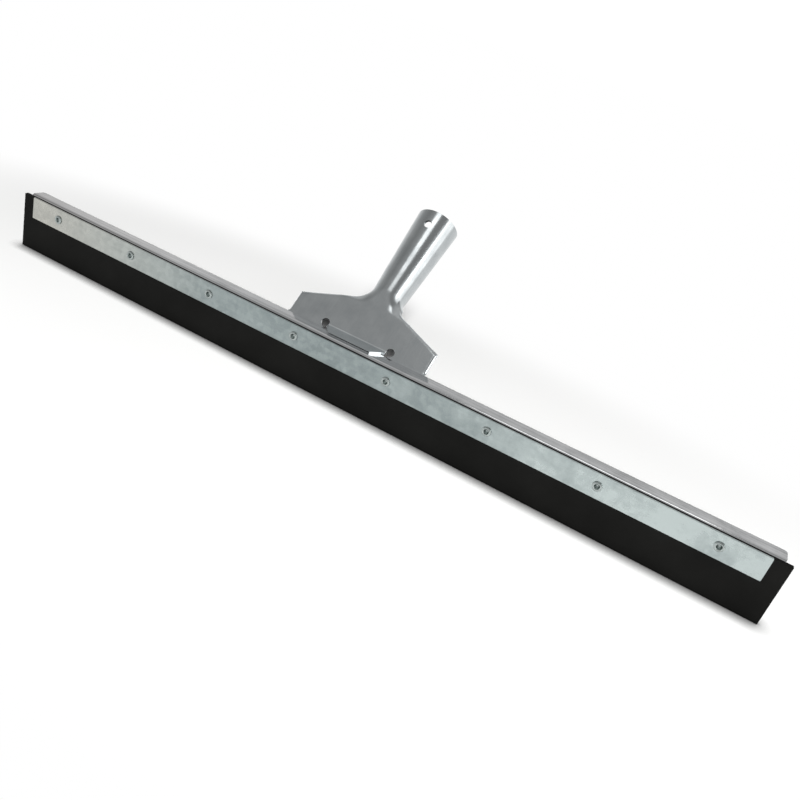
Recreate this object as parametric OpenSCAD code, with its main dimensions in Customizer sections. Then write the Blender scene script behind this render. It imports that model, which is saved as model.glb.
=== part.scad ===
// Floor squeegee head: a flat rubber blade riveted between a galvanised back
// angle and a front clamp strip, with a pressed and rolled handle socket on top.
// X runs along the blade, the riveted front faces -Y, Z is up.
// The origin is the middle of the lip that touches the floor.

/* [Rubber blade] */
// Length of the rubber blade
blade_len = 610; // [460:1:900]
// Thickness of the rubber blade
blade_t = 3.2; // [3:0.1:8]
// Height of the rubber blade from its lip to its top edge
blade_h = 43.5; // [40:0.5:70]

/* [Clamp strip] */
// How far each end of the strip stays inside the rubber's end
strip_inset = 11; // [4:0.5:30]
// Height of the front clamp strip
strip_h = 17; // [14:0.5:24]
// Sheet thickness of the front clamp strip
strip_t = 1.2; // [0.8:0.1:2]
// How far the strip's top edge stands over the rubber
strip_rise = 0.5; // [0:0.1:2]
// Corner radius of the strip
strip_corner_r = 0.5; // [0.4:0.1:3]

/* [Back angle] */
// How far each end of the angle stays inside the rubber's end
angle_inset = 4; // [0:0.5:20]
// Sheet thickness of the back angle
angle_t = 1.5; // [1:0.1:2.5]
// Height of the leg behind the rubber, measured to the flange's top
leg_h = 17.5; // [15:0.5:26]
// Depth of the flange, measured from the rubber to the flange's back edge
flange_d = 11.6; // [9:0.1:24]
// How far the flange's top stands over the rubber
angle_rise = 1; // [0.5:0.1:3]
// Outside radius of the bend between leg and flange
angle_bend_r = 2.5; // [1.6:0.1:4]
// Corner radius at the ends of the leg and the flange
angle_corner_r = 1.5; // [0.5:0.1:4]

/* [Rivets] */
// Number of rivets
rivet_count = 8; // [4:1:12]
// Distance of the end rivets from the strip's ends
rivet_edge = 28; // [12:0.5:40]
// Shank diameter of a rivet
rivet_d = 4.8; // [3:0.1:6]
// Gap all round the shank in its holes
rivet_clear = 0.15; // [0.05:0.05:0.3]
// Diameter of the rivet's head behind the angle
rivet_head_d = 9; // [7:0.1:12]
// Height of the rivet's head
rivet_head_h = 1.8; // [1:0.1:3]
// Diameter of the rolled ring in front of the strip
rivet_ring_d = 7.2; // [6.4:0.1:9]
// Height of the rolled ring
rivet_ring_h = 1.2; // [0.8:0.1:2]
// Diameter of the hollow in the rivet's end
rivet_hollow_d = 2.6; // [1.6:0.1:3.2]
// Depth of the hollow below the ring's top
rivet_hollow_depth = 3; // [2:0.1:6]

/* [Socket plate] */
// Sheet thickness of the socket
sheet_t = 1.6; // [1.2:0.1:2.4]
// Lean of the socket's plate from the blade's plane, in degrees
lean = 43; // [30:1:55]
// Overall width of the winged plate
plate_w = 114; // [100:1:160]
// Height of the wings' ends above the feet
wing_h = 18.5; // [12:0.5:23]
// Width of the neck where the wings' sloping edges meet
neck_w = 28.5; // [26:0.5:34]
// Height of the neck above the feet
neck_h = 34; // [32:0.5:38]
// Size of the curve between a wing's edge and the tube
neck_soft = 4; // [2:0.5:6]
// Inside radius of the bends at the foot of the plate
foot_bend_r = 3; // [1:0.1:4]
// Gap between the flange's back edge and the bend of the feet
foot_gap = 0.3; // [0.1:0.1:1]
// Gap between the angle's inside bend and the front of the feet
foot_front_gap = 1; // [0.3:0.1:2]
// Width of the middle tab at its front edge
tab_front_w = 33; // [24:0.5:44]
// How far the middle tab's front edge stays behind the rubber
tab_setback = 3.8; // [2:0.1:4.5]
// Width of the middle tab at its bend
tab_root_w = 50; // [46:0.5:52]
// Gap between the middle tab's root and each foot
slit_w = 2; // [1:0.1:4]
// Diameter of a relief hole
relief_d = 6.4; // [5.6:0.1:9]
// Flat sheet left between a foot's bend and its relief hole
relief_lift = 0.2; // [0.1:0.1:1.5]

/* [Socket tube] */
// Outside diameter of the tube at its mouth
mouth_d = 33.6; // [30:0.1:42]
// Outside diameter of the tube where it is fully round
throat_d = 26; // [22:0.1:29]
// Height on the plate at which the tube is fully round
throat_h = 50; // [48:0.5:60]
// Height on the plate at which the sheet begins to curl
curl_start = 29; // [27:0.5:31]
// Height on the plate at which the curl has the tube's radius
curl_end = 46; // [43:0.5:47.5]
// Length of the round tapered tube
tube_len = 68; // [40:1:120]
// How far the tube's front stands before the plate
tube_proud = 3; // [0:0.1:5]
// Gap of the seam along the back of the tube
seam_gap = 1.2; // [0.6:0.1:3]
// Diameter of the screw hole in the front of the tube
screw_d = 6; // [4:0.1:8]
// Distance of the screw hole from the mouth
screw_inset = 12; // [8:0.5:30]

/* [Hidden] */
$fn = 64;
eps = 0.01;
// A bend is thinner and narrower than the sheet by this on each side, and laps into
// the plate by this angle, so that the two share volume and not only a face
tuck = 0.02;
lap = 5;
// Steel as it looks: zinc on the frame, brighter zinc on the socket
zinc = [0.66, 0.68, 0.68];
zinc_dark = [0.60, 0.61, 0.62];
socket_zinc = [0.56, 0.57, 0.59];
rivet_steel = [0.72, 0.72, 0.70];
rubber_black = [0.12, 0.12, 0.11];

// Lengths that follow the rubber's length
strip_len = blade_len - 2 * strip_inset;
angle_len = blade_len - 2 * angle_inset;
rivet_pitch = (strip_len - 2 * rivet_edge) / (rivet_count - 1);

// The rubber's two faces and the planes that everything else seats on
front_y = -blade_t / 2;
back_y = blade_t / 2;
strip_top = blade_h + strip_rise;
strip_bottom = strip_top - strip_h;
flange_top = blade_h + angle_rise;
flange_under = flange_top - angle_t;
flange_edge = back_y + flange_d;
leg_back = back_y + angle_t;
rivet_z = strip_bottom + strip_h / 2;
hole_d = rivet_d + 2 * rivet_clear;
grip = strip_t + blade_t + angle_t;

// The plate's own frame: x along the blade, y up the plate, z out of its front
bend = 90 - lean;
bend_reach = foot_bend_r * tan(bend / 2);
plate_y = flange_edge + foot_gap + bend_reach;
plate_z = flange_under;
tab_top = flange_top + sheet_t;
tab_v = (tab_top - plate_z) / cos(lean);
tab_bend_v = tab_v + bend_reach;
tab_bend_y = plate_y + tab_v * sin(lean) - bend_reach;
tab_front = back_y + tab_setback;
foot_front = leg_back + angle_bend_r - angle_t + foot_front_gap;
relief_pitch = tab_root_w + 2 * slit_w;
relief_h = bend_reach + relief_lift + relief_d / 2;
loft_v0 = curl_start - 2;
wing_run = (plate_w - neck_w) / 2 / (neck_h - wing_h);

// The tube's taper; the front line of the tube runs parallel to the plate
mouth_r = mouth_d / 2;
throat_r = throat_d / 2;
slope = (mouth_r - throat_r) / tube_len;
taper = atan(slope);

// Position of rivet number i along the blade
function rivet_x(i) = (i - (rivet_count + 1) / 2) * rivet_pitch;

// An ease from 0 to 1 with level ends
function ease(u) = let (c = min(1, max(0, u))) c * c * (3 - 2 * c);

// Half the width of the sheet at height v: the wing's straight edge, a soft
// corner at the neck, then the widening that wraps round to the seam
function wing_half(v) = let (d = neck_h - v)
    neck_w / 2 + wing_run * (d + sqrt(d * d + neck_soft * neck_soft)) / 2;
function wrap_half(v, gap) = let (q = max(0, (v - neck_h) / (throat_h - neck_h)))
    (PI * tube_r(v) - gap / 2 - wing_half(v)) * pow(min(1, q), 1.6);
function sheet_half(v, gap) = wing_half(v) + wrap_half(v, gap);

// Radius of the tube's cone at height v on the plate
function tube_r(v) = throat_r + slope * (v - throat_h);

// How far the section at height v is curled, from flat to the tube's radius
function curl(v) = max(0.0001, ease((v - curl_start) / (curl_end - curl_start)));
function proud(v) = tube_proud * ease((v - loft_v0) / (curl_end - loft_v0));
function tilt(v) = taper * ease((v - loft_v0) / (throat_h - loft_v0));

// One point of the curled sheet: height v, place s from -1 to 1 across it,
// depth d below the front skin, gap left open at the seam
function sheet_point(v, s, d, gap) = let (
        rho = tube_r(v) / curl(v),
        a = s * sheet_half(v, gap) / rho * 180 / PI,
        x = (rho - d) * sin(a),
        m = rho - (rho - d) * cos(a))
    [x, v - m * sin(tilt(v)), proud(v) - m * cos(tilt(v))];

// Rows of the loft: [height, skin inset, extra gap at the edges]
loft_rows = 16;
inset = 0.12;
rows = concat(
    [[loft_v0 - 1, inset, inset]],
    [for (j = [0:loft_rows]) [loft_v0 + 1 + (throat_h - loft_v0 - 2) * j / loft_rows, 0, 0]],
    [[throat_h + 1, inset, 4 * inset]]
);
cols = 48;

// The sheet between flat plate and round tube, as one closed loft
module curled_sheet() {
    n = len(rows);
    w = cols + 1;
    k = n * w;
    skin = [for (r = rows) for (i = [0:cols]) sheet_point(r[0], 2 * i / cols - 1, r[1], seam_gap + r[2])];
    inside = [for (r = rows) for (i = [0:cols])
        sheet_point(r[0], 2 * i / cols - 1, sheet_t - r[1], seam_gap + r[2])];
    front = [for (j = [0:n - 2]) for (i = [0:cols - 1]) let (a = j * w + i, b = a + w)
        each [[a, b, b + 1], [a, b + 1, a + 1]]];
    back = [for (j = [0:n - 2]) for (i = [0:cols - 1]) let (a = k + j * w + i, b = a + w)
        each [[a, b + 1, b], [a, a + 1, b + 1]]];
    low = [for (i = [0:cols - 1]) each [[i, i + 1, k + i + 1], [i, k + i + 1, k + i]]];
    t = (n - 1) * w;
    high = [for (i = [0:cols - 1]) let (a = t + i)
        each [[a + 1, a, k + a], [a + 1, k + a, k + a + 1]]];
    left = [for (j = [0:n - 2]) let (a = j * w, b = a + w)
        each [[b, a, k + a], [b, k + a, k + b]]];
    right = [for (j = [0:n - 2]) let (a = j * w + cols, b = a + w)
        each [[a, b, k + b], [a, k + b, k + a]]];
    polyhedron(concat(skin, inside), concat(front, back, low, high, left, right), convexity = 6);
}

// Extrude a profile drawn in Y and Z along the blade, centred on x = 0
module along_blade(length) {
    rotate([90, 0, 90])
        linear_extrude(length, center = true)
            children();
}

// The plate's own frame, see above
module on_plate() {
    translate([0, plate_y, plate_z])
        rotate([90 - lean, 0, 0])
            children();
}

// Flat rectangle with round corners, centred
module round_rect(length, height, r) {
    square([length, height - 2 * r], center = true);
    square([length - 2 * r, height], center = true);
    for (sx = [-1, 1], sy = [-1, 1])
        translate([sx * (length / 2 - r), sy * (height / 2 - r)])
            circle(r);
}

// Clearance holes for all rivets, through everything from y0 to y1
module rivet_holes(y0, y1) {
    for (i = [1:rivet_count])
        translate([rivet_x(i), y1 + eps, rivet_z])
            rotate([90, 0, 0])
                cylinder(d = hole_d, h = y1 - y0 + 2 * eps);
}

module rubber_blade() {
    color(rubber_black)
        difference() {
            translate([-blade_len / 2, front_y, 0])
                cube([blade_len, blade_t, blade_h]);
            rivet_holes(front_y, back_y);
        }
}

module clamp_strip() {
    color(zinc)
        difference() {
            translate([0, front_y, strip_bottom + strip_h / 2])
                rotate([90, 0, 0])
                    linear_extrude(strip_t)
                        round_rect(strip_len, strip_h, strip_corner_r);
            rivet_holes(front_y - strip_t, front_y);
        }
}

// Section of the back angle: leg, bend and flange
module angle_profile() {
    bend_y = back_y + angle_bend_r;
    bend_z = flange_top - angle_bend_r;
    translate([back_y, flange_top - leg_h])
        square([angle_t, leg_h - angle_bend_r]);
    translate([bend_y, flange_under])
        square([flange_d - angle_bend_r, angle_t]);
    translate([bend_y, bend_z])
        intersection() {
            difference() {
                circle(angle_bend_r);
                circle(angle_bend_r - angle_t);
            }
            translate([-angle_bend_r, 0])
                square(angle_bend_r);
        }
}

// A corner to take off an end: a square less its quarter circle
module corner_cut(r) {
    difference() {
        square(r + 1);
        circle(r);
    }
}

module back_angle() {
    r = angle_corner_r;
    color(zinc_dark)
        difference() {
            along_blade(angle_len)
                angle_profile();
            rivet_holes(back_y, leg_back);
            for (sx = [-1, 1]) {
                // round the flange's back corners
                translate([sx * (angle_len / 2 - r), flange_edge - r, flange_under - 1])
                    mirror([sx < 0 ? 1 : 0, 0, 0])
                        linear_extrude(angle_t + 2)
                            corner_cut(r);
                // round the leg's lower corners
                translate([sx * (angle_len / 2 - r), leg_back + 1, flange_top - leg_h + r])
                    rotate([90, 0, 0])
                        mirror([sx < 0 ? 1 : 0, 0, 0])
                            mirror([0, 1, 0])
                                linear_extrude(angle_t + 2)
                                    corner_cut(r);
            }
        }
}

// Section of one bent tongue in Y and Z: flat part on level z0 from y0 to the
// bend at y1, then the bend up and a little way into the plate
module tongue_profile(y0, y1, z0) {
    translate([y0, z0])
        square([y1 - y0, sheet_t]);
    translate([y1, z0 + sheet_t + foot_bend_r])
        intersection() {
            difference() {
                circle(foot_bend_r + sheet_t - tuck);
                circle(foot_bend_r + tuck);
            }
            polygon([[0, 0], [0, -20], [20 * tan(bend + lap), -20]]);
        }
}

// Outline of the flat plate in its own frame, up to the start of the curl
module plate_outline() {
    half = plate_w / 2;
    top = wing_half(loft_v0);
    rise = relief_h;
    polygon([
        [-half, rise], [half, rise], [half, wing_h],
        [top, loft_v0], [-top, loft_v0], [-half, wing_h]
    ]);
    for (sx = [-1, 1])
        translate([sx * (half + relief_pitch / 2) / 2, (bend_reach + rise + 1) / 2])
            square([half - relief_pitch / 2, rise + 1 - bend_reach], center = true);
    translate([-tab_root_w / 2, tab_bend_v])
        square([tab_root_w, rise + 1 - tab_bend_v]);
}

// The tapered tube, from its round throat to its mouth, with the seam behind
module tube() {
    seam_angle = seam_gap / throat_r * 180 / PI;
    translate([0, throat_h - throat_r * sin(taper), tube_proud - throat_r * cos(taper)])
        rotate([-90 - taper, 0, 0])
            difference() {
                rotate([0, 0, 90 + seam_angle / 2])
                    rotate_extrude(angle = 360 - seam_angle)
                        polygon([
                            [throat_r - sheet_t, 0], [throat_r, 0],
                            [mouth_r, tube_len], [mouth_r - sheet_t, tube_len]
                        ]);
                translate([0, 0, tube_len - screw_inset])
                    rotate([90, 0, 0])
                        cylinder(d = screw_d, h = mouth_r + 1);
            }
}

module socket_bracket() {
    half = plate_w / 2;
    foot_w = half - relief_pitch / 2;
    color(socket_zinc) {
        difference() {
            union() {
                // the winged plate
                on_plate()
                    translate([0, 0, -sheet_t])
                        linear_extrude(sheet_t)
                            plate_outline();
                // two outer feet under the flange
                for (sx = [-1, 1])
                    translate([sx * (relief_pitch / 2 + foot_w / 2), 0, 0])
                        along_blade(foot_w - 2 * tuck)
                            tongue_profile(foot_front, plate_y - bend_reach, plate_z - sheet_t);
                // the middle tab on top of the flange, with slanted ends
                intersection() {
                    along_blade(tab_root_w - 2 * tuck)
                        tongue_profile(tab_front, tab_bend_y, flange_top);
                    translate([0, 0, flange_top - 1])
                        linear_extrude(30)
                            polygon([
                                [-tab_front_w / 2, tab_front], [tab_front_w / 2, tab_front],
                                [tab_root_w / 2, tab_bend_y], [tab_root_w / 2, tab_bend_y + 20],
                                [-tab_root_w / 2, tab_bend_y + 20], [-tab_root_w / 2, tab_bend_y]
                            ]);
                }
            }
            // relief holes at the ends of the tab's bend
            on_plate()
                for (sx = [-1, 1])
                    translate([sx * relief_pitch / 2, relief_h, -8])
                        cylinder(d = relief_d, h = 16);
        }
        on_plate() {
            curled_sheet();
            tube();
        }
    }
}

// Section of a semi-tubular rivet about its axis: head below, rolled ring on top
module rivet_profile() {
    ring_r = rivet_ring_h / 2;
    ring_mid = (rivet_ring_d + rivet_hollow_d) / 4;
    ring_in = rivet_hollow_d / 2;
    head_r = rivet_head_d / 2;
    dome = (head_r * head_r + rivet_head_h * rivet_head_h) / 2 / rivet_head_h;
    top = grip + rivet_ring_h;
    difference() {
        union() {
            square([rivet_d / 2, grip + ring_r]);
            translate([ring_in, grip])
                square([ring_mid - ring_in, rivet_ring_h]);
            translate([ring_mid, grip])
                square([rivet_ring_d / 2 - ring_mid, ring_r]);
            translate([rivet_ring_d / 2 - ring_r, grip + ring_r])
                circle(ring_r);
            translate([ring_mid, grip + ring_r])
                square([rivet_ring_d / 2 - ring_r - ring_mid, ring_r]);
            intersection() {
                translate([0, dome - rivet_head_h])
                    circle(dome);
                translate([0, -rivet_head_h])
                    square([head_r, rivet_head_h]);
            }
        }
        translate([0, top - rivet_hollow_depth])
            square([ring_in, rivet_hollow_depth + 1]);
        // flare the mouth of the hollow into the rolled ring
        polygon([
            [0, top + eps], [ring_in + ring_r, top + eps],
            [ring_in, top - ring_r], [0, top - ring_r]
        ]);
    }
}

module rivet(i) {
    color(rivet_steel)
        translate([rivet_x(i), leg_back, rivet_z])
            rotate([90, 0, 0])
                rotate_extrude()
                    rivet_profile();
}

rubber_blade();
clamp_strip();
back_angle();
socket_bracket();
for (i = [1:rivet_count])
    rivet(i);
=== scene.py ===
"""Finished surfaces and looks for the floor squeegee head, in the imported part's frame.

X runs along the blade, Z up from the rubber's lip and -Y to the riveted front. Sizes of the pieces and of the
patterns on them are in millimetres. Floor, world, lamps and camera are in metres.
"""
import math

import bpy
import numpy as np
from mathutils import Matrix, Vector


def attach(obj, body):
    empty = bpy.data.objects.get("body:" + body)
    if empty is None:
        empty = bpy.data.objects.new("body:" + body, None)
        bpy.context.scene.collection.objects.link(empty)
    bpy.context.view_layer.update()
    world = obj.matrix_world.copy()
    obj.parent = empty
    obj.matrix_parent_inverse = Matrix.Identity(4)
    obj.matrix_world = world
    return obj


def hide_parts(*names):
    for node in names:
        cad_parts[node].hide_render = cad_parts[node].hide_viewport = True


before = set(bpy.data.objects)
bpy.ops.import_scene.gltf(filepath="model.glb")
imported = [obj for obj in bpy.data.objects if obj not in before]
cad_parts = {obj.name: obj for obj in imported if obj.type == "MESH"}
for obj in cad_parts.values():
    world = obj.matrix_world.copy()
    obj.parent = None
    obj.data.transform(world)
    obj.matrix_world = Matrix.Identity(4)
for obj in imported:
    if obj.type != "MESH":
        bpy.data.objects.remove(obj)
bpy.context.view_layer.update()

MM = 0.001

# Rubber blade
BLADE_LEN = 610.0
BLADE_T = 3.2
BLADE_H = 43.5
BLADE_EDGE = 0.3
RUBBER_FRONT = -BLADE_T / 2
RUBBER_BACK = BLADE_T / 2

# Clamp strip on the rubber's front, dented a little round the rivets
STRIP_LEN = 588.0
STRIP_T = 1.2
STRIP_H = 17.0
STRIP_TOP = 44.0
STRIP_CORNER = 0.5
STRIP_EDGE = 0.35
STRIP_FRONT = RUBBER_FRONT - STRIP_T
DENT_DEPTH = 0.12
DENT_SPREAD = 5.0

# Angle: its leg lies behind the rubber and its flange runs back over the top
ANGLE_LEN = 602.0
ANGLE_T = 1.5
ANGLE_BEND_R = 2.5
ANGLE_CORNER = 1.5
ANGLE_EDGE = 0.3
LEG_H = 17.5
LEG_BACK = RUBBER_BACK + ANGLE_T
FLANGE_D = 11.6
FLANGE_TOP = 44.5
FLANGE_BACK = RUBBER_BACK + FLANGE_D

# Rivets: a row of eight through strip, rubber and leg
RIVET_COUNT = 8
RIVET_PITCH = 76.0
RIVET_X = (np.arange(RIVET_COUNT) - (RIVET_COUNT - 1) / 2) * RIVET_PITCH
RIVET_Z = 35.5
RIVET_R = 2.4
RIVET_HOLE_R = 2.5
GRIP = LEG_BACK - STRIP_FRONT
HEAD_R = 4.5
HEAD_H = 1.8
RING_R = 3.3
RING_LIP_R = 0.3
# Points of the rolled ring and of its hollow: radius, and height above the strip's face
RING_SLOPE = ((2.85, 0.72), (2.6, 0.86))
CREST_CENTRE = (2.25, 0.4)
CREST_R = 0.55
HOLLOW = ((1.6, -0.15), (1.4, -0.7), (1.2, -1.4), (0.6, -1.7), (0.2, -1.75))

# Socket bracket: v runs up its leaning plate from the flange's underside, and n out of the plate's front
SHEET_T = 1.6
SOCKET_EDGE = 0.55
LEAN = math.radians(43.0)
FOOT_BEND_R = 3.0
FOOT_TURN = math.pi / 2 - LEAN
BEND_ARC = FOOT_BEND_R * FOOT_TURN
BEND_BEHIND_FLANGE = 0.3
FOOT_V = FOOT_BEND_R * math.tan(FOOT_TURN / 2)
FOOT_FLAT = 8.4
PLATE_Y = FLANGE_BACK + BEND_BEHIND_FLANGE + FOOT_BEND_R * math.cos(LEAN) - FOOT_V * math.sin(LEAN)
PLATE_Z = FLANGE_TOP - ANGLE_T
TAB_V = FOOT_V + (FLANGE_TOP + SHEET_T - PLATE_Z) / math.cos(LEAN)
TAB_FRONT_Y = 5.4
TAB_FLAT = PLATE_Y + TAB_V * math.sin(LEAN) - FOOT_BEND_R * math.cos(LEAN) - TAB_FRONT_Y
TAB_ROOT = 25.0
TAB_FRONT = 16.5
TAB_CORNER = 1.0
RELIEF_X = 27.0
RELIEF_R = 3.2
RELIEF_ABOVE_BEND = 0.2
RELIEF_V = FOOT_V + RELIEF_ABOVE_BEND + RELIEF_R
RELIEF_TOP = RELIEF_V + RELIEF_R
WING = 57.0
WING_V = 18.5
MIDDLE_SHARE = RELIEF_X / WING
NECK = 14.25
NECK_V = 34.0
NECK_SOFT = 4.0

# Outline of the bracket's plate, which the press rolled back
ROLL_R = 2.6
ROLL_TURN = math.radians(65.0)
ROLL_STARTS_OVER = 1.2
ROLL_ENDS_V = 42.0
ROLL_ENDS_OVER = 10.0

# Tube of the socket, which the plate curls into
LOFT_V = 27.0
CURL_V = 29.0
CURL_END = 46.0
THROAT_R = 13.0
THROAT_V = 50.0
MOUTH_R = 16.8
TUBE_LEN = 68.0
TUBE_PROUD = 3.0
SEAM = 1.2
WRAP_POWER = 1.6
SCREW_R = 3.0
SCREW_DOWN = 12.0
TAPER = math.atan((MOUTH_R - THROAT_R) / TUBE_LEN)
MOUTH_V = THROAT_V + TUBE_LEN / math.cos(TAPER)
SCREW_V = THROAT_V + (TUBE_LEN - SCREW_DOWN) / math.cos(TAPER)

# Meshes: half the side of the even patch of cells round a hole, and how many cells a side has
PATCH = 5.0
RIVET_CELLS = 10
SCREW_CELLS = 12


# Surfaces

def lines(*spans):
    """Grid lines through spans of (start, end, cells): each is divided evenly and shared ends appear once."""
    parts = [np.linspace(a, b, n + 1)[(k > 0):] for k, (a, b, n) in enumerate(spans)]
    return np.concatenate(parts)


def grid(u, v):
    """Points (u, v) of a rectangular grid, and its cells as anticlockwise quads."""
    uu, vv = np.meshgrid(u, v, indexing="ij")
    index = np.arange(uu.size).reshape(uu.shape)
    quads = np.stack([index[:-1, :-1], index[1:, :-1], index[1:, 1:], index[:-1, 1:]], -1)
    return np.stack([uu.ravel(), vv.ravel()], -1), quads.reshape(-1, 4)


def pierce(points, quads, centre, half, cells, radius, rings=3):
    """Cuts a round hole in a flat grid.

    The cells in a box round the centre are left out. Rings fill it: a ring point is (1 - t) times a point
    on the box's outline plus t times the point of the circle at the same angle, for t from 0 at the box to
    1 at the hole.
    """
    half, radius = np.broadcast_to(half, 2), np.broadcast_to(radius, 2)
    inside = (np.abs(points[quads].mean(1) - centre) < half).all(1)
    side, one = np.linspace(-1, 1, cells + 1)[:-1], np.ones(cells)
    sides = ((side, -one), (one, side), (-side, one), (-one, -side))
    outline = np.concatenate([np.stack(pair, -1) for pair in sides])
    angle = np.arctan2(outline[:, 1], outline[:, 0])
    circle = np.stack([np.cos(angle), np.sin(angle)], -1)
    t = np.linspace(0, 1, rings + 1)[:, None, None]
    ring = (centre + (1 - t) * outline * half + t * circle * radius).reshape(-1, 2)
    index = np.arange(len(ring)).reshape(rings + 1, -1) + len(points)
    onward = np.roll(index, -1, 1)
    filling = np.stack([index[:-1], onward[:-1], onward[1:], index[1:]], -1).reshape(-1, 4)
    return np.concatenate([points, ring]), np.concatenate([quads[~inside], filling])


def round_corners(flat, half_x, low, high, radius):
    """Pulls a sheet's four corners in: there the row is shortened to the quarter circle of that radius."""
    x, w = flat[:, 0], flat[:, 1]
    near = np.minimum(w - low, high - w)
    rise = np.clip(radius - near, 0, radius)
    short = radius - np.sqrt(np.maximum(radius ** 2 - rise ** 2, 0))
    ramp = 3 * radius
    pull = np.clip((np.abs(x) - (half_x - ramp)) / ramp, 0, 1)
    return np.stack([x - np.sign(x) * short * pull, w], -1)


def link_mesh(name, points, quads, flat, caps=()):
    """Links a mesh at the origin from points in millimetres, with equal points joined.

    The flat place of each point, in millimetres on the sheet before it was bent, is kept as the UV map
    'sheet'.
    """
    _, first, place = np.unique(np.round(points, 4), axis=0, return_index=True, return_inverse=True)
    place = place.ravel()
    corners = np.concatenate([quads.ravel(), *caps]).astype(int)
    used = np.unique(place[corners])
    compact = np.zeros(len(first), int)
    compact[used] = np.arange(len(used))
    faces = compact[place[quads]].tolist() + [compact[place[cap]].tolist() for cap in caps]
    mesh = bpy.data.meshes.new(name)
    mesh.from_pydata((points[first[used]] * MM).tolist(), [], faces)
    corner = np.zeros(len(mesh.loops), int)
    mesh.loops.foreach_get("vertex_index", corner)
    mesh.uv_layers.new(name="sheet").data.foreach_set("uv", flat[first[used]][corner].ravel())
    mesh.polygons.foreach_set("use_smooth", np.ones(len(mesh.polygons), bool))
    mesh.update()
    obj = bpy.data.objects.new(name, mesh)
    bpy.context.scene.collection.objects.link(obj)
    return obj


def thicken(obj, thickness, edge, segments=2):
    """Gives a sheet its thickness behind its front face, and small rounded edges."""
    solid = obj.modifiers.new("thickness", "SOLIDIFY")
    solid.thickness = thickness * MM
    solid.offset = -1
    solid.use_even_offset = True
    solid.use_quality_normals = True
    bevel = obj.modifiers.new("edge", "BEVEL")
    bevel.width = edge * MM
    bevel.segments = segments
    bevel.limit_method = "ANGLE"
    bevel.angle_limit = math.radians(40)
    bevel.harden_normals = True
    return obj


def riveted_sheet(half_x, low, high, extra=()):
    """Flat sheet (x, w) with the eight rivet holes, each in an even patch of the grid.

    w is the height above the floor, and extra spans of w follow the last.
    """
    spans, start = [], -half_x
    for x in RIVET_X:
        spans += [(start, x - PATCH, 12), (x - PATCH, x + PATCH, RIVET_CELLS)]
        start = x + PATCH
    w = lines((low, RIVET_Z - PATCH, 8), (RIVET_Z - PATCH, RIVET_Z + PATCH, RIVET_CELLS),
              (RIVET_Z + PATCH, high, 5), *extra)
    points, quads = grid(lines(*spans, (start, half_x, 12)), w)
    for x in RIVET_X:
        points, quads = pierce(points, quads, np.array([x, RIVET_Z]), PATCH, RIVET_CELLS, RIVET_HOLE_R)
    return points, quads


def make_blade():
    """Rubber: the flat sheet (x, z) at the front face, with its thickness behind it."""
    flat, quads = riveted_sheet(BLADE_LEN / 2, 0.0, BLADE_H)
    points = np.stack([flat[:, 0], np.full(len(flat), RUBBER_FRONT), flat[:, 1]], -1)
    return thicken(link_mesh("rubber", points, quads, flat), BLADE_T, BLADE_EDGE)


def make_strip():
    """Clamp strip: the sheet (x, z), pulled in round each rivet as setting it leaves it.

    The dent is a bell curve of the distance to the nearest rivet: depth * exp(-(distance / spread) squared).
    """
    bottom = STRIP_TOP - STRIP_H
    flat, quads = riveted_sheet(STRIP_LEN / 2, bottom, STRIP_TOP)
    flat = round_corners(flat, STRIP_LEN / 2, bottom, STRIP_TOP, STRIP_CORNER)
    away = np.hypot(flat[:, :1] - RIVET_X, flat[:, 1:] - RIVET_Z).min(1)
    y = STRIP_FRONT + DENT_DEPTH * np.exp(-(away / DENT_SPREAD) ** 2)
    points = np.stack([flat[:, 0], y, flat[:, 1]], -1)
    return thicken(link_mesh("strip", points, quads, flat), STRIP_T, STRIP_EDGE)


def make_angle():
    """Angle: a path up the leg, round a quarter circle and back along the flange, carried along X."""
    bend, bottom = FLANGE_TOP - ANGLE_BEND_R, FLANGE_TOP - LEG_H
    quarter = ANGLE_BEND_R * math.pi / 2
    end = bend + quarter + FLANGE_D - ANGLE_BEND_R
    over_the_top = ((bend, bend + quarter, 8), (bend + quarter, end, 8))
    flat, quads = riveted_sheet(ANGLE_LEN / 2, bottom, bend, over_the_top)
    flat = round_corners(flat, ANGLE_LEN / 2, bottom, end, ANGLE_CORNER)
    w = flat[:, 1]
    turn = np.clip((w - bend) / ANGLE_BEND_R, 0, math.pi / 2)
    y = RUBBER_BACK + ANGLE_BEND_R * (1 - np.cos(turn)) + np.maximum(w - bend - quarter, 0)
    z = np.minimum(w, bend) + ANGLE_BEND_R * np.sin(turn)
    points = np.stack([flat[:, 0], y, z], -1)
    return thicken(link_mesh("angle", points, quads, flat), ANGLE_T, ANGLE_EDGE)


def ease(t):
    """Smooth step from 0 to 1."""
    t = np.clip(t, 0, 1)
    return t * t * (3 - 2 * t)


def tube_radius(v):
    """Radius of the tapered tube at height v."""
    return THROAT_R + (MOUTH_R - THROAT_R) / TUBE_LEN * (v - THROAT_V)


def shoulder(v):
    """Half the width below the wings' slanting upper edges, with a soft corner into the neck."""
    run = (WING - NECK) / (NECK_V - WING_V)
    d = NECK_V - v
    return NECK + run * (d + np.sqrt(d * d + NECK_SOFT ** 2)) / 2


def half_width(v):
    """Half the sheet's width: straight wings, the shoulders and neck, then what wraps round to the seam."""
    neck = shoulder(v)
    gap = SEAM * np.maximum(tube_radius(v) / THROAT_R, 1)
    wrap = np.clip((v - NECK_V) / (THROAT_V - NECK_V), 0, 1) ** WRAP_POWER
    return np.minimum(WING, neck + (math.pi * tube_radius(v) - gap / 2 - neck) * wrap)


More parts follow.
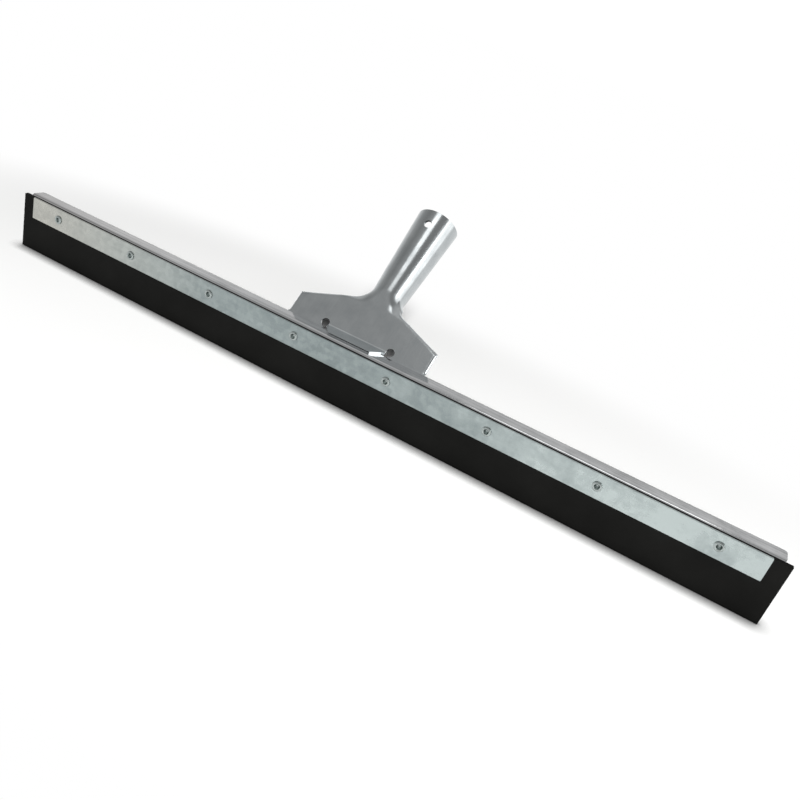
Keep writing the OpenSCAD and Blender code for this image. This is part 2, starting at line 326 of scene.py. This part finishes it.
def rolled_back(p, v):
    """How far the outline is rolled back at p across and height v.

    It turns by ROLL_TURN round ROLL_R: radius - sqrt(radius squared - over squared), where over is how far
    the point lies past the start of the roll. The roll is lost towards the foot and in the tube.
    """
    p = np.abs(p)
    step = 0.1
    slope = (shoulder(v + step) - shoulder(v - step)) / (2 * step)
    inside = np.minimum(WING - p, (shoulder(v) - p) / np.sqrt(1 + slope ** 2))
    reach = ROLL_R * math.sin(ROLL_TURN)
    over = np.clip(reach - inside, 0, reach)
    there = ease((v - FOOT_V) / ROLL_STARTS_OVER) * ease((ROLL_ENDS_V - v) / ROLL_ENDS_OVER)
    return (ROLL_R - np.sqrt(ROLL_R ** 2 - over ** 2)) * there


def bend_forward(w, bend_v):
    """Height v, distance n in front of the plate and length past the bend, for w up the flat sheet.

    Above bend_v the sheet stays in the plate. Below it the sheet turns forward round FOOT_BEND_R until it is
    level, and runs on flat.
    """
    below = np.maximum(bend_v - w, 0)
    turn = np.minimum(below / FOOT_BEND_R, FOOT_TURN)
    past = np.maximum(below - BEND_ARC, 0)
    v = np.where(below > 0, bend_v - FOOT_BEND_R * np.sin(turn) - past * math.cos(FOOT_TURN), w)
    n = FOOT_BEND_R * (1 - np.cos(turn)) + past * math.sin(FOOT_TURN)
    return v, n, past


def bracket_points(p, w, bend_v):
    """Front face of the bracket at p across and w up the flat sheet.

    Below bend_v the sheet is bent forward. Above it v equals w: the plate is flat until CURL_V, then curls to
    radius tube_radius(v) / curl with curl easing from 0 to 1, while its front line comes proud by TUBE_PROUD
    and tilts to the tube's taper. Angle a = p / radius gives x = radius * sin a, and the depth behind the
    front line is radius * (1 - cos a). The outline is rolled back.
    """
    v, n, _ = bend_forward(w, bend_v)
    nearly_flat = 1e-5
    curl = np.maximum(ease((v - CURL_V) / (CURL_END - CURL_V)), nearly_flat)
    radius = tube_radius(np.maximum(v, LOFT_V)) / curl
    proud = TUBE_PROUD * ease((v - LOFT_V) / (CURL_END - LOFT_V))
    tilt = TAPER * ease((v - LOFT_V) / (THROAT_V - LOFT_V))
    depth = radius * 2 * np.sin(p / radius / 2) ** 2
    back = np.where(w < bend_v, 0, rolled_back(p, w))
    v = v - depth * np.sin(tilt)
    n = n + proud - depth * np.cos(tilt) - back
    x = radius * np.sin(p / radius)
    y = PLATE_Y + v * math.sin(LEAN) - n * math.cos(LEAN)
    z = PLATE_Z + v * math.cos(LEAN) + n * math.sin(LEAN)
    return np.stack([x, y, z], -1)


def relief_chord(v):
    """Half the width of a relief hole's circle at height v."""
    return np.sqrt(np.maximum(RELIEF_R ** 2 - (v - RELIEF_V) ** 2, 0))


def middle_edge(w):
    """Half the width of the bracket's middle strip at w up the flat sheet.

    The tab narrows in a straight line to its front, where each corner is a quarter circle. Beside a relief
    hole the edge is the hole's place less its chord, and above it a fixed share of the sheet's half width.
    """
    v, _, past = bend_forward(w, TAB_V)
    near_front = np.clip(TAB_CORNER - TAB_FLAT + past, 0, TAB_CORNER)
    rounding = TAB_CORNER - np.sqrt(TAB_CORNER ** 2 - near_front ** 2)
    tab_edge = TAB_ROOT - (TAB_ROOT - TAB_FRONT) * past / TAB_FLAT - rounding
    hole_edge = RELIEF_X - relief_chord(v)
    lower = np.where(w < TAB_V, np.minimum(tab_edge, hole_edge), hole_edge)
    return np.where(w < RELIEF_TOP, lower, MIDDLE_SHARE * half_width(w))


def beside_relief(start, count):
    """Heights of rows beside a relief hole, evenly round its circle from an angle up to its top."""
    return RELIEF_V + RELIEF_R * np.sin(np.linspace(start, math.pi / 2, count + 1))[1:]


def upper_rows():
    """Heights of the rows above the relief holes, which the bracket's three strips share.

    One row is at the wing's upper corner, where the slanting edge reaches the straight one.
    """
    fall = 2 * (NECK_V - WING_V)
    corner = NECK_V - (fall ** 2 - NECK_SOFT ** 2) / (2 * fall)
    return lines((RELIEF_TOP, corner, 12), (corner, LOFT_V, 10), (LOFT_V, THROAT_V, 46),
                 (THROAT_V, SCREW_V - PATCH, 50), (SCREW_V - PATCH, SCREW_V + PATCH, SCREW_CELLS),
                 (SCREW_V + PATCH, MOUTH_V, 8))


def middle_strip(upper):
    """Middle strip of the bracket, from the tab's front to the tube's mouth, with the screw hole."""
    bend_end = TAB_V - BEND_ARC
    front = bend_end - TAB_FLAT
    tab = lines((front, front + TAB_CORNER, 8), (front + TAB_CORNER, bend_end, 12), (bend_end, TAB_V, 10))
    w = np.concatenate([tab, beside_relief(math.asin((TAB_V - RELIEF_V) / RELIEF_R), 8), upper[1:]])
    patch = PATCH / (MIDDLE_SHARE * half_width(SCREW_V))
    cell, quads = grid(lines((-1, -patch, 22), (-patch, patch, SCREW_CELLS), (patch, 1, 22)), w)
    cell, quads = pierce(cell, quads, np.array([0, SCREW_V]), np.array([patch, PATCH]), SCREW_CELLS,
                         np.array([patch * SCREW_R / PATCH, SCREW_R]), rings=4)
    flat = np.stack([cell[:, 0] * np.interp(cell[:, 1], w, middle_edge(w)), cell[:, 1]], -1)
    return bracket_points(flat[:, 0], flat[:, 1], TAB_V), quads, flat


def outer_strip(side, upper):
    """Outer strip of the bracket on one side, from the foot's front to the tube's mouth.

    A point is a share c of the way from the strip's inner edge to the sheet's outline:
    inner * (1 - c) + outline * c.
    """
    bend_end = FOOT_V - BEND_ARC
    foot = lines((bend_end - FOOT_FLAT, bend_end, 8), (bend_end, FOOT_V, 10),
                 (FOOT_V, RELIEF_V - RELIEF_R, 1))
    w = np.concatenate([foot, beside_relief(-math.pi / 2, 18), upper[1:]])
    inner = np.where(w <= RELIEF_TOP, RELIEF_X + relief_chord(w), MIDDLE_SHARE * half_width(w))
    cell, quads = grid(lines((0, 0.7, 12), (0.7, 1, 22)), w)
    p = np.interp(cell[:, 1], w, inner) * (1 - cell[:, 0]) + half_width(cell[:, 1]) * cell[:, 0]
    flat = np.stack([side * p, cell[:, 1]], -1)
    return bracket_points(flat[:, 0], flat[:, 1], FOOT_V), quads[:, ::side], flat


def make_bracket():
    """Bracket: three strips of one sheet, joined above the relief holes and parted below them.

    The middle strip runs down into the tab and the outer two into the feet. Beside a relief hole the rows
    follow its circle: height v = centre + radius * sin(angle), edge x = centre -+ radius * cos(angle).
    """
    upper = upper_rows()
    strips = (middle_strip(upper), outer_strip(1, upper), outer_strip(-1, upper))
    points, quads, flat = zip(*strips)
    shift = np.cumsum([0] + [len(part) for part in points])
    shifted = [part + first for part, first in zip(quads, shift)]
    sheet = link_mesh("socket", np.concatenate(points), np.concatenate(shifted), np.concatenate(flat))
    return thicken(sheet, SHEET_T, SOCKET_EDGE, segments=3)


def arc_points(centre, radius, start, end, count):
    """Points (radius, depth) on a circular arc of a turned profile; angles in degrees."""
    a = np.radians(np.linspace(start, end, count))
    return np.stack([centre[0] + radius * np.cos(a), centre[1] + radius * np.sin(a)], -1)


def make_rivet(number):
    """Rivet: a profile (radius, depth) turned round the axis along Y.

    It starts at the middle of the domed head behind the leg, runs along the shank, and turns over a flattened
    ring in front into a flared hollow. The ring's radius wavers with the angle, as a rolled edge does: three
    waves of 0.05 mm and seven of 0.03 mm, which start elsewhere on each rivet.
    """
    sphere = (HEAD_R ** 2 + HEAD_H ** 2) / (2 * HEAD_H)
    widest = math.degrees(math.asin(HEAD_R / sphere))
    # The dome starts just off the axis, where a cap closes it, and ends just inside its rim
    dome_start, dome_end = -89.2, -90 + widest * 0.985
    clear = 0.05
    face = np.array([0.0, GRIP])
    profile = np.concatenate([
        arc_points((0, sphere - HEAD_H), sphere, dome_start, dome_end, 12),
        [(HEAD_R - clear, 0.0), (RIVET_R, 0.0), (RIVET_R, GRIP * 0.5), (RIVET_R, GRIP - clear)],
        face + arc_points((RING_R - RING_LIP_R, RING_LIP_R), RING_LIP_R, -90, 70, 9),
        face + RING_SLOPE,
        face + arc_points(CREST_CENTRE, CREST_R, 76, 176, 9),
        face + HOLLOW])
    sides = 56
    around = np.arange(sides) * 2 * math.pi / sides
    row, angle = np.meshgrid(np.arange(len(profile)), around, indexing="ij")
    r, depth = profile[row, 0], profile[row, 1]
    waver = 0.05 * np.sin(3 * angle + number) + 0.03 * np.sin(7 * angle + 2 * number)
    r = r + np.clip((depth - GRIP) / RING_LIP_R, 0, 1) * waver
    x, z = RIVET_X[number] + r * np.cos(angle), RIVET_Z + r * np.sin(angle)
    points = np.stack([x, LEG_BACK - depth, z], -1)
    ring = np.arange(row.size).reshape(row.shape)
    onward = np.roll(ring, -1, 1)
    quads = np.stack([ring[:-1], onward[:-1], onward[1:], ring[1:]], -1).reshape(-1, 4)
    flat = np.stack([angle * (RING_R - RING_LIP_R), row + 1.0], -1)
    return link_mesh(f"set_rivet_{number + 1}", points.reshape(-1, 3), quads, flat.reshape(-1, 2),
                     caps=(ring[0][::-1], ring[-1]))


# Materials

def linear(hex_colour):
    """Linear RGBA of an sRGB hex colour."""
    s = np.array([int(hex_colour[k:k + 2], 16) for k in (1, 3, 5)]) / 255
    return (*np.where(s <= 0.04045, s / 12.92, ((s + 0.055) / 1.055) ** 2.4), 1.0)


def add(tree, kind, sockets=None, **settings):
    """Adds a node, sets its properties, and gives its input sockets values or links to other nodes' outputs.

    Sockets go by name or number. A Map Range reads the range 1 to 2 and gives 3 to 4, and a Mix goes from
    colour 6 to colour 7.
    """
    made = tree.nodes.new("ShaderNode" + kind)
    for key, value in settings.items():
        setattr(made, key, value)
    for socket, value in (sockets or {}).items():
        if isinstance(value, bpy.types.NodeSocket):
            tree.links.new(value, made.inputs[socket])
        else:
            made.inputs[socket].default_value = value
    return made


def new_material(name):
    """Empty material with its node tree and output."""
    made = bpy.data.materials.new(name)
    made.use_nodes = True
    made.node_tree.nodes.clear()
    return made, made.node_tree, made.node_tree.nodes.new("ShaderNodeOutputMaterial")


def make_galvanised(name, pale, dark, smooth, rough, spangle_mm, spangle_depth, reflection_wave_depth, roll_depth,
                    tarnish):
    """Hot-dip galvanised sheet: zinc crystals froze into patches that each tint and scatter a little apart.

    A slow wave of about half a metre along the sheet shifts its tone and roughness, darker near the middle
    and paler towards both ends: a painted reflection of the studio. The mill's rolls left fine lines along
    it.
    Cloudy patches are stronger towards +X. Tarnish warms the end towards -X, up to the share given. The grit
    of the coat is drawn at 0.9 mm, coarser than it is, so that it shows.
    """
    warp_mm, cloud_mm, grit_mm, reflection_wave_mm = 3.0, 45.0, 0.9, 540.0
    roll_long_mm, roll_wide_mm = 110.0, 2.4
    reflection_wave_start, grit_depth = 1.3, 0.25
    warm = (1.0, 0.89, 0.83, 1.0)
    made, t, out = new_material(name)
    uv = add(t, "UVMap", uv_map="sheet").outputs["UV"]
    warp = add(t, "TexNoise", {"Vector": uv, "Scale": 1 / warp_mm, "Detail": 2.0})
    moved = add(t, "VectorMath", {0: warp.outputs["Color"], 1: (warp_mm, warp_mm, 0.0), 2: uv},
                operation="MULTIPLY_ADD")
    cell = add(t, "TexVoronoi", {"Vector": moved.outputs[0], "Scale": 1 / spangle_mm, "Smoothness": 0.6},
               feature="SMOOTH_F1")
    tone = add(t, "SeparateColor", {0: cell.outputs["Color"]})
    lengthwise = add(t, "VectorMath", {0: uv, 1: (1 / roll_long_mm, 1 / roll_wide_mm, 0.0)},
                     operation="MULTIPLY")
    rolled = add(t, "TexNoise", {"Vector": lengthwise.outputs[0], "Scale": 1.0, "Detail": 3.0,
                                 "Roughness": 0.6})
    drift = add(t, "TexNoise", {"Vector": uv, "Scale": 1 / cloud_mm, "Detail": 5.0, "Roughness": 0.62})
    fine = add(t, "TexNoise", {"Vector": uv, "Scale": 1 / grit_mm, "Detail": 3.0, "Roughness": 0.6})

    # Tone: clouds, then the painted reflection wave, the roll lines, the spangle and the grit on top
    place = add(t, "SeparateXYZ", {0: uv})
    clouding = add(t, "MapRange", {0: place.outputs["X"], 1: 20.0, 2: 220.0, 3: 0.4, 4: 2.0})
    cloud = add(t, "Math", {0: drift.outputs["Fac"], 1: 0.5}, operation="SUBTRACT")
    cloud = add(t, "Math", {0: cloud.outputs[0], 1: clouding.outputs[0], 2: 0.5}, operation="MULTIPLY_ADD")
    # Painted reflection: a sine of about half a metre along X, darker near the middle of the sheet and paler
    # towards both ends
    turn = add(t, "VectorMath", {0: uv, 1: (2 * math.pi / reflection_wave_mm, 0.0, 0.0)}, operation="DOT_PRODUCT")
    turn = add(t, "Math", {0: turn.outputs["Value"], 1: reflection_wave_start}, operation="SUBTRACT")
    wave = add(t, "Math", {0: turn.outputs[0]}, operation="SINE")
    mixed = add(t, "Math", {0: wave.outputs[0], 1: reflection_wave_depth, 2: cloud.outputs[0]}, operation="MULTIPLY_ADD")
    for pattern, depth in ((rolled.outputs["Fac"], roll_depth), (tone.outputs[0], spangle_depth),
                           (fine.outputs["Fac"], grit_depth)):
        mixed = add(t, "Math", {0: pattern, 1: depth, 2: mixed.outputs[0]}, operation="MULTIPLY_ADD")

    # The range from dark to pale lies evenly about the mean of these patterns, which is half of each
    mean = (1.0 + roll_depth + spangle_depth + grit_depth) / 2
    spread = 0.25 + spangle_depth / 2
    low, high = mean - spread, mean + spread
    level = add(t, "MapRange", {0: mixed.outputs[0], 1: low, 2: high})
    colour = add(t, "Mix", {0: level.outputs[0], 6: linear(dark), 7: linear(pale)}, data_type="RGBA")
    aged = add(t, "MapRange", {0: place.outputs["X"], 1: -100.0, 2: -280.0, 3: 0.0, 4: tarnish})
    colour = add(t, "Mix", {0: aged.outputs[0], 6: colour.outputs[2], 7: warm}, data_type="RGBA",
                 blend_type="MULTIPLY")
    scatter = add(t, "MapRange", {0: mixed.outputs[0], 1: low, 2: high, 3: rough, 4: smooth})
    relief = add(t, "Math", {0: tone.outputs[1], 1: 0.35, 2: fine.outputs["Fac"]}, operation="MULTIPLY_ADD")
    relief = add(t, "Math", {0: rolled.outputs["Fac"], 1: 2 * roll_depth, 2: relief.outputs[0]},
                 operation="MULTIPLY_ADD")
    bump = add(t, "Bump", {"Strength": 0.22, "Distance": 0.02 * MM, "Height": relief.outputs[0]})
    shader = add(t, "BsdfPrincipled", {"Base Color": colour.outputs[2], "Metallic": 1.0,
                                       "Roughness": scatter.outputs[0], "Normal": bump.outputs[0]})
    t.links.new(shader.outputs[0], out.inputs[0])
    return made


def make_zinc(name, pale, dark, smooth, rough):
    """Bright zinc-plated pressed steel: nearly a mirror, with drawing lines along the sheet and faint clouds.

    The drawing lines are drawn 0.6 mm wide, coarser than they are, so that they show.
    """
    line_wide_mm, line_long_mm, cloud_mm, speck_mm = 0.6, 30.0, 14.0, 1.2
    made, t, out = new_material(name)
    uv = add(t, "UVMap", uv_map="sheet").outputs["UV"]
    along = add(t, "VectorMath", {0: uv, 1: (1 / line_wide_mm, 1 / line_long_mm, 0.0)}, operation="MULTIPLY")
    grain = add(t, "TexNoise", {"Vector": along.outputs[0], "Scale": 1.0, "Detail": 4.0, "Roughness": 0.6})
    cloud = add(t, "TexNoise", {"Vector": uv, "Scale": 1 / cloud_mm, "Detail": 4.0})
    speck = add(t, "TexNoise", {"Vector": uv, "Scale": 1 / speck_mm, "Detail": 2.0})
    mixed = add(t, "Math", {0: grain.outputs["Fac"], 1: 0.4, 2: cloud.outputs["Fac"]},
                operation="MULTIPLY_ADD")
    level = add(t, "MapRange", {0: mixed.outputs[0], 1: 0.3, 2: 1.1})
    colour = add(t, "Mix", {0: level.outputs[0], 6: linear(dark), 7: linear(pale)}, data_type="RGBA")
    scatter = add(t, "MapRange", {0: mixed.outputs[0], 1: 0.45, 2: 0.95, 3: rough, 4: smooth})
    relief = add(t, "Math", {0: speck.outputs["Fac"], 1: 0.6, 2: grain.outputs["Fac"]},
                 operation="MULTIPLY_ADD")
    bump = add(t, "Bump", {"Strength": 0.1, "Distance": 0.02 * MM, "Height": relief.outputs[0]})
    shader = add(t, "BsdfPrincipled", {"Base Color": colour.outputs[2], "Metallic": 1.0,
                                       "Roughness": scatter.outputs[0], "Normal": bump.outputs[0]})
    t.links.new(shader.outputs[0], out.inputs[0])
    return made


def make_rubber():
    """Black moulded rubber: matt, with a fine moulded grain and a thin, uneven bloom of dust.

    The grain is drawn at 0.7 mm, coarser than it is, so that it shows.
    """
    grain_mm, bloom_mm = 0.7, 45.0
    black, dusty = linear("#121211"), linear("#1c1c1b")
    made, t, out = new_material("black moulded rubber")
    uv = add(t, "UVMap", uv_map="sheet").outputs["UV"]
    grain = add(t, "TexNoise", {"Vector": uv, "Scale": 1 / grain_mm, "Detail": 3.0, "Roughness": 0.6})
    bloom = add(t, "TexNoise", {"Vector": uv, "Scale": 1 / bloom_mm, "Detail": 4.0})
    mixed = add(t, "Math", {0: grain.outputs["Fac"], 1: 0.4, 2: bloom.outputs["Fac"]},
                operation="MULTIPLY_ADD")
    level = add(t, "MapRange", {0: mixed.outputs[0], 1: 0.5, 2: 0.95})
    colour = add(t, "Mix", {0: level.outputs[0], 6: black, 7: dusty}, data_type="RGBA")
    scatter = add(t, "MapRange", {0: mixed.outputs[0], 1: 0.45, 2: 0.95, 3: 0.58, 4: 0.72})
    bump = add(t, "Bump", {"Strength": 0.25, "Distance": 0.05 * MM, "Height": grain.outputs["Fac"]})
    shader = add(t, "BsdfPrincipled", {"Base Color": colour.outputs[2], "Roughness": scatter.outputs[0],
                                       "IOR": 1.52, "Specular IOR Level": 0.05, "Normal": bump.outputs[0]})
    t.links.new(shader.outputs[0], out.inputs[0])
    return made


def make_floor_white():
    """Matt white studio sweep: lit by its lamp close to the object, plain white to the eye further out.

    In three ovals the plain white has a smaller share, so that the lamp's shadow of blade and socket shows
    there, most of all behind the socket, where the two relief holes show it. Within about a centimetre of
    anything that stands on the sweep, a painted contact shade darkens both its colour and its plain white
    steeply, as paper shades under a lip.
    """
    # Of each oval: its centre, its half sizes, how many times larger it is where the white is whole again,
    # and the white's share inside it
    ovals = (
        ((0.0, 0.0), (0.25, 0.125), 2.5, 0.75),
        ((-0.02, 0.07), (0.324, 0.117), 16 / 9, 0.33),
        ((-0.04, 0.09), (0.06, 0.06), 8 / 3, 0.05),
    )
    fibre_size, lip_shade = 1.5 * MM, 12 * MM
    made, t, out = new_material("white studio sweep")
    place = add(t, "TexCoord").outputs["Object"]
    path = add(t, "LightPath").outputs
    seen = add(t, "Math", {0: path["Is Camera Ray"], 1: path["Is Glossy Ray"]}, operation="ADD")
    share = add(t, "Math", {0: seen.outputs[0], 1: path["Is Transmission Ray"]}, operation="ADD",
                use_clamp=True)
    for (x, y), (half_x, half_y), whole, inside in ovals:
        across = add(t, "VectorMath", {0: place, 1: (1 / half_x, 1 / half_y, 0.0),
                                       2: (-x / half_x, -y / half_y, 0.0)}, operation="MULTIPLY_ADD")
        away = add(t, "VectorMath", {0: across.outputs[0]}, operation="LENGTH")
        white = add(t, "MapRange", {0: away.outputs["Value"], 1: 1.0, 2: whole, 3: inside, 4: 1.0},
                    interpolation_type="SMOOTHSTEP")
        share = add(t, "Math", {0: share.outputs[0], 1: white.outputs[0]}, operation="MULTIPLY")
    fibre = add(t, "TexNoise", {"Vector": place, "Scale": 1 / fibre_size, "Detail": 2.0})
    tone = add(t, "Mix", {0: fibre.outputs["Fac"], 6: linear("#f3f3f2"), 7: linear("#f7f7f6")},
               data_type="RGBA")
    # Painted contact shade: ambient occlusion within 12 mm, to the power 2.5, darkens the sweep's colour and
    # its plain white
    open_sky = add(t, "AmbientOcclusion", {"Distance": lip_shade}, samples=8)
    shade = add(t, "Math", {0: open_sky.outputs["AO"], 1: 2.5}, operation="POWER")
    shaded = add(t, "Mix", {0: shade.outputs[0], 6: (0, 0, 0, 1), 7: tone.outputs[2]}, data_type="RGBA")
    matt = add(t, "BsdfDiffuse", {"Color": shaded.outputs[2]})
    plain = add(t, "Emission", {"Color": (1, 1, 1, 1), "Strength": shade.outputs[0]})
    shader = add(t, "MixShader", {0: share.outputs[0], 1: matt.outputs[0], 2: plain.outputs[0]})
    t.links.new(shader.outputs[0], out.inputs[0])
    return made


# Floor, world and lamps

def make_floor():
    """Level sheet of 160 m in 16 by 16 cells."""
    half = 80 / MM
    flat, quads = grid(np.linspace(-half, half, 17), np.linspace(-half, half, 17))
    made = link_mesh("floor", np.concatenate([flat, np.zeros((len(flat), 1))], -1), quads, flat)
    made.data.materials.append(make_floor_white())
    return made


def make_studio():
    """World that the metal's gloss shows: a grey room, paler behind and on the left, with two glows above.

    The walls fade upwards, and the back one also towards the far left. Matt surfaces don't get this light,
    so that the floor keeps the shadow of its lamp.
    """
    room = 0.27
    # Direction, cosines at which a glow starts and is full, and its strength: behind overhead, then in front
    glows = (
        ((-0.1, 0.6, 0.79), 0.55, 0.9, 0.32),
        ((-0.25, -0.75, 0.61), 0.7, 0.95, 0.15),
    )
    made = bpy.data.worlds.new("studio")
    made.use_nodes = True
    made.cycles_visibility.diffuse = False
    t = made.node_tree
    t.nodes.clear()
    view = add(t, "TexCoord").outputs["Generated"]
    facing = add(t, "SeparateXYZ", {0: view}).outputs
    back = add(t, "MapRange", {0: facing["Y"], 1: -0.3, 2: 0.7, 3: 0.30, 4: 0.73},
               interpolation_type="SMOOTHSTEP")
    beside = add(t, "MapRange", {0: facing["X"], 1: -0.75, 2: -0.55, 3: 0.3, 4: 1.0})
    back = add(t, "Math", {0: back.outputs[0], 1: beside.outputs[0]}, operation="MULTIPLY")
    back_low = add(t, "MapRange", {0: facing["Z"], 1: 0.14, 2: 0.4, 3: 1.0, 4: 0.0},
                   interpolation_type="SMOOTHSTEP")
    light = add(t, "Math", {0: back.outputs[0], 1: back_low.outputs[0], 2: room}, operation="MULTIPLY_ADD")
    left = add(t, "MapRange", {0: facing["X"], 1: -0.3, 2: -0.85, 3: 0.0, 4: 0.26})
    left_low = add(t, "MapRange", {0: facing["Z"], 1: 0.14, 2: 0.75, 3: 1.0, 4: 0.0})
    light = add(t, "Math", {0: left.outputs[0], 1: left_low.outputs[0], 2: light.outputs[0]},
                operation="MULTIPLY_ADD")
    for toward, start, full, strength in glows:
        along = add(t, "VectorMath", {0: view, 1: toward}, operation="DOT_PRODUCT")
        glow = add(t, "MapRange", {0: along.outputs["Value"], 1: start, 2: full, 3: 0.0, 4: strength},
                   interpolation_type="SMOOTHSTEP")
        light = add(t, "Math", {0: light.outputs[0], 1: glow.outputs[0]}, operation="ADD")
    background = add(t, "Background", {"Color": (1, 1, 1, 1), "Strength": light.outputs[0]})
    t.links.new(background.outputs[0], add(t, "OutputWorld").inputs[0])
    return made


def lamp(name, toward, distance, size, brightness, on_matt=True, on_gloss=True, only=None):
    """Softbox in a direction from the socket, facing it; its power comes from the brightness of its face.

    A lamp may be kept to the matt surfaces, to the gloss of the metal, or to one object.
    """
    aim = Vector((0, 0.04, 0.07))
    way = Vector(toward).normalized()
    data = bpy.data.lights.new(name, "AREA")
    data.shape = "RECTANGLE"
    data.size, data.size_y = size
    data.energy = brightness * math.pi * data.size * data.size_y
    obj = bpy.data.objects.new(name, data)
    bpy.context.scene.collection.objects.link(obj)
    obj.location = aim + way * distance
    obj.rotation_euler = (-way).to_track_quat("-Z", "Y").to_euler()
    obj.visible_diffuse = on_matt
    obj.visible_glossy = on_gloss
    if only:
        lit = bpy.data.collections.new("lit by " + name)
        lit.objects.link(only)
        obj.light_linking.receiver_collection = lit


# Object

rubber = make_rubber()
strip_zinc = make_galvanised(
    "hot-dip galvanised strip steel", pale="#bfc9c8", dark="#879192", smooth=0.26, rough=0.36,
    spangle_mm=4.0, spangle_depth=0.18, reflection_wave_depth=0.22, roll_depth=0.15, tarnish=1.0)
angle_zinc = make_galvanised(
    "hot-dip galvanised angle steel", pale="#e5e6e7", dark="#afb0b1", smooth=0.08, rough=0.15,
    spangle_mm=9.0, spangle_depth=0.1, reflection_wave_depth=0.06, roll_depth=0.9, tarnish=0.2)
socket_zinc = make_zinc(
    "bright zinc-plated pressed steel", pale="#cdd1d2", dark="#aaafb1", smooth=0.16, rough=0.26)
rivet_zinc = make_zinc(
    "zinc-plated rivet steel", pale="#c2cac8", dark="#979f9e", smooth=0.22, rough=0.34)

blade = make_blade()
made_pieces = [
    (blade, rubber, "rubber_blade", "rubber"),
    (make_strip(), strip_zinc, "clamp_strip", "galvanised_strip"),
    (make_angle(), angle_zinc, "back_angle", "galvanised_angle"),
    (make_bracket(), socket_zinc, "socket_bracket", "zinc_socket"),
]
for k in range(RIVET_COUNT):
    made_pieces.append((make_rivet(k), rivet_zinc, f"rivet_{k + 1}", "rivet_steel"))
for piece, material, node_name, slot_name in made_pieces:
    piece.data.materials.append(material)
    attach(piece, "root")
    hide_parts(node_name)

# Stage: three softboxes for the metal's gloss, and a key for the floor and one for the rubber

scene = bpy.context.scene
floor = make_floor()
scene.world = make_studio()

KEY_WAY = (0.366, -0.821, 0.438)
KEY_SIZE = (0.47, 0.47)
lamp("overhead strip", (0.0, -0.31, 0.95), 4.0, (1.5, 1.0), brightness=1.95, on_matt=False)
lamp("right softbox", (0.88, 0.16, 0.44), 4.0, (2.2, 2.2), brightness=1.35, on_matt=False)
lamp("front softbox", (0.87, -0.24, 0.42), 3.0, (1.5, 1.5), brightness=3.2, on_matt=False)
lamp("floor key", KEY_WAY, 3.0, KEY_SIZE, brightness=305.0, on_gloss=False, only=floor)
lamp("rubber key", KEY_WAY, 3.0, KEY_SIZE, brightness=83.0, on_gloss=False, only=blade)

# Camera, as it was solved from the strip's corners, the rivets and the socket's outline

CAMERA_PLACE = (0.20260, -0.43174, 0.25070)
CAMERA_TURN = (62.7882, -15.9004, 27.3892)
camera_data = bpy.data.cameras.new("camera")
camera_data.sensor_width = 36.0
camera_data.lens = 34.1204
camera = bpy.data.objects.new("camera", camera_data)
camera.location = CAMERA_PLACE
camera.rotation_euler = [math.radians(turn) for turn in CAMERA_TURN]
scene.collection.objects.link(camera)
scene.camera = camera
scene.view_settings.view_transform = "Standard"
